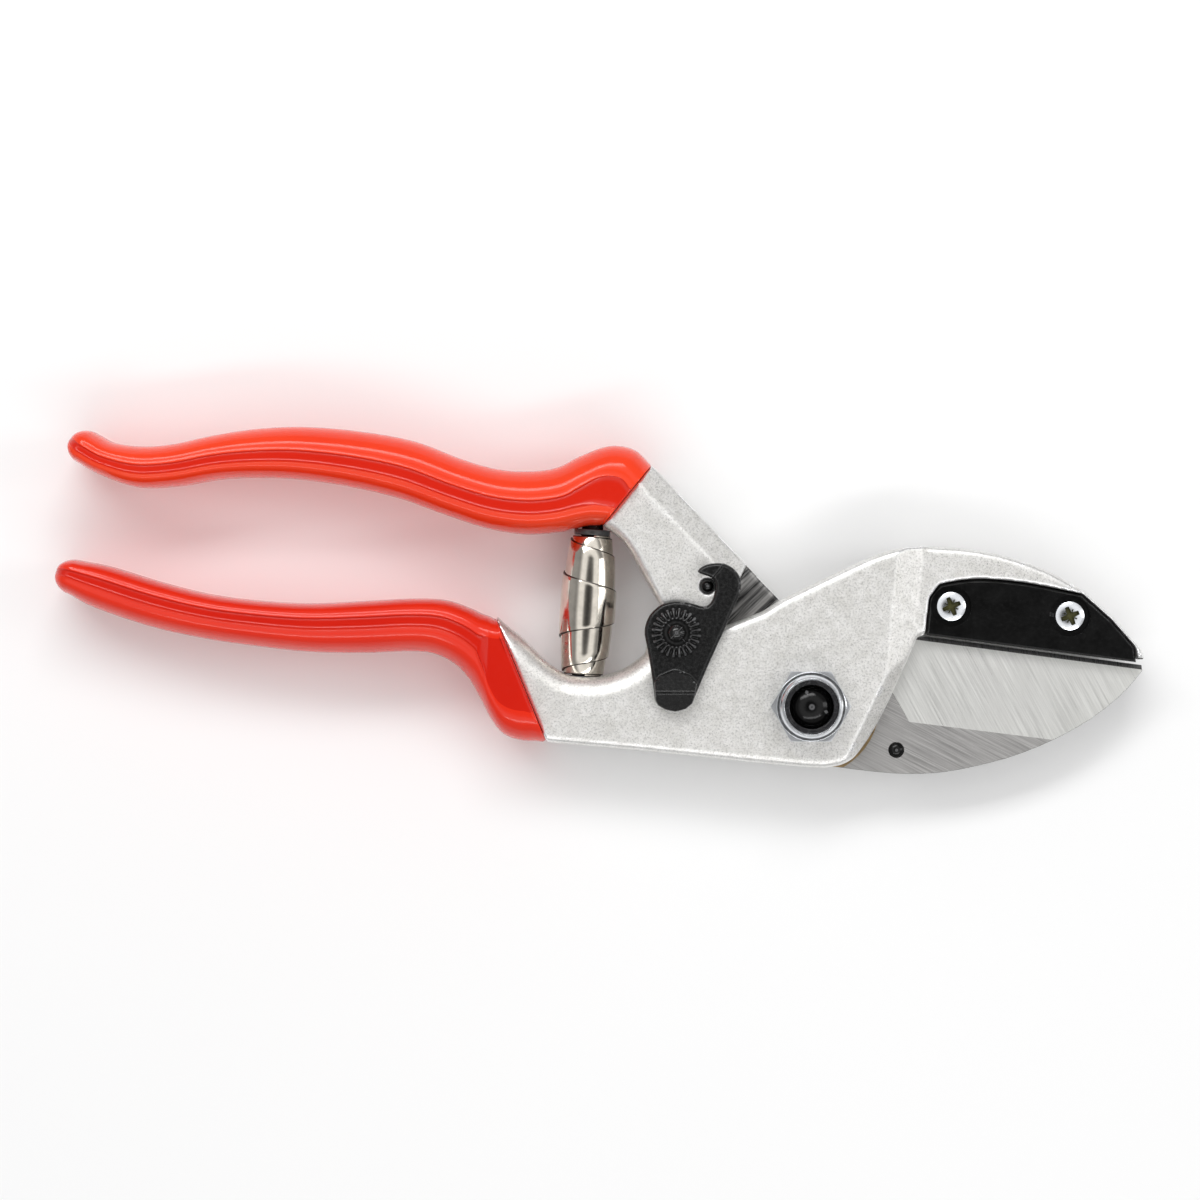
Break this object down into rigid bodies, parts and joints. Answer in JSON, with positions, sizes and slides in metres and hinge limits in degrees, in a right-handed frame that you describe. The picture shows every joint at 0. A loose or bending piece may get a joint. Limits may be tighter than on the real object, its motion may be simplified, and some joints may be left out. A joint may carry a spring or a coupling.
{
  "type": "pruning shears",
  "caption": "Anvil pruning shears: straight blade closing on a plastic anvil, forged handles with vinyl grips, volute spring and a thumb catch.",
  "frame": {"origin": "on the pivot axis, at the centre of the pivot bolt head's flat face, which with the two grips is what the shears lie on", "axes": "+X towards the blade tip, +Y from the anvil handle towards the blade handle, +Z along the pivot axis towards the lock nut"},
  "size_m": [0.205, 0.0655, 0.0232],
  "materials": {
    "forged_aluminium": "satin speckled forging",
    "red_vinyl": "glossy dipped vinyl",
    "black_plastic": "gloss black",
    "black_steel": "black oxide",
    "zinc": "bright zinc",
    "ground_steel": "ground",
    "nickel": "nickel plated",
    "bronze": "bronze",
    "nylon": "nylon"
  },
  "bodies": {
    "anvil_handle": {"anvil_handle": "forged_aluminium", "anvil_handle_grip": "red_vinyl", "anvil": "black_plastic", "anvil_screw_rear": "zinc", "anvil_screw_front": "zinc", "pivot_bolt": "black_steel", "pivot_bolt_washer": "zinc", "pivot_nut": "zinc", "pivot_nut_insert": "nylon", "pivot_bush": "bronze", "slide_washer": "bronze", "catch_screw": "black_steel", "catch_washer": "zinc", "spring_seat_lower": "black_steel"},
    "blade_handle": {"blade_handle": "forged_aluminium", "blade_handle_grip": "red_vinyl", "blade": "ground_steel", "blade_rivet": "black_steel", "catch_pin": "black_steel", "spring_seat_upper": "black_steel", "volute_spring": "nickel"},
    "catch": {"catch_plate": "black_steel"}
  },
  "joints": [
    {"name": "pivot", "type": "hinge", "parent": "anvil_handle", "child": "blade_handle", "pos_m": [0, 0, 0], "axis": [0, 0, -1], "range_deg": [0, 32], "deforming": ["volute_spring"]},
    {"name": "catch", "type": "hinge", "parent": "anvil_handle", "child": "catch", "pos_m": [-0.025, 0.0137, 0], "axis": [0, 0, -1], "range_deg": [0, 144]}
  ],
  "couplings": [
    {"joint": "catch", "follows": "pivot", "ratio": 4.5}
  ]
}
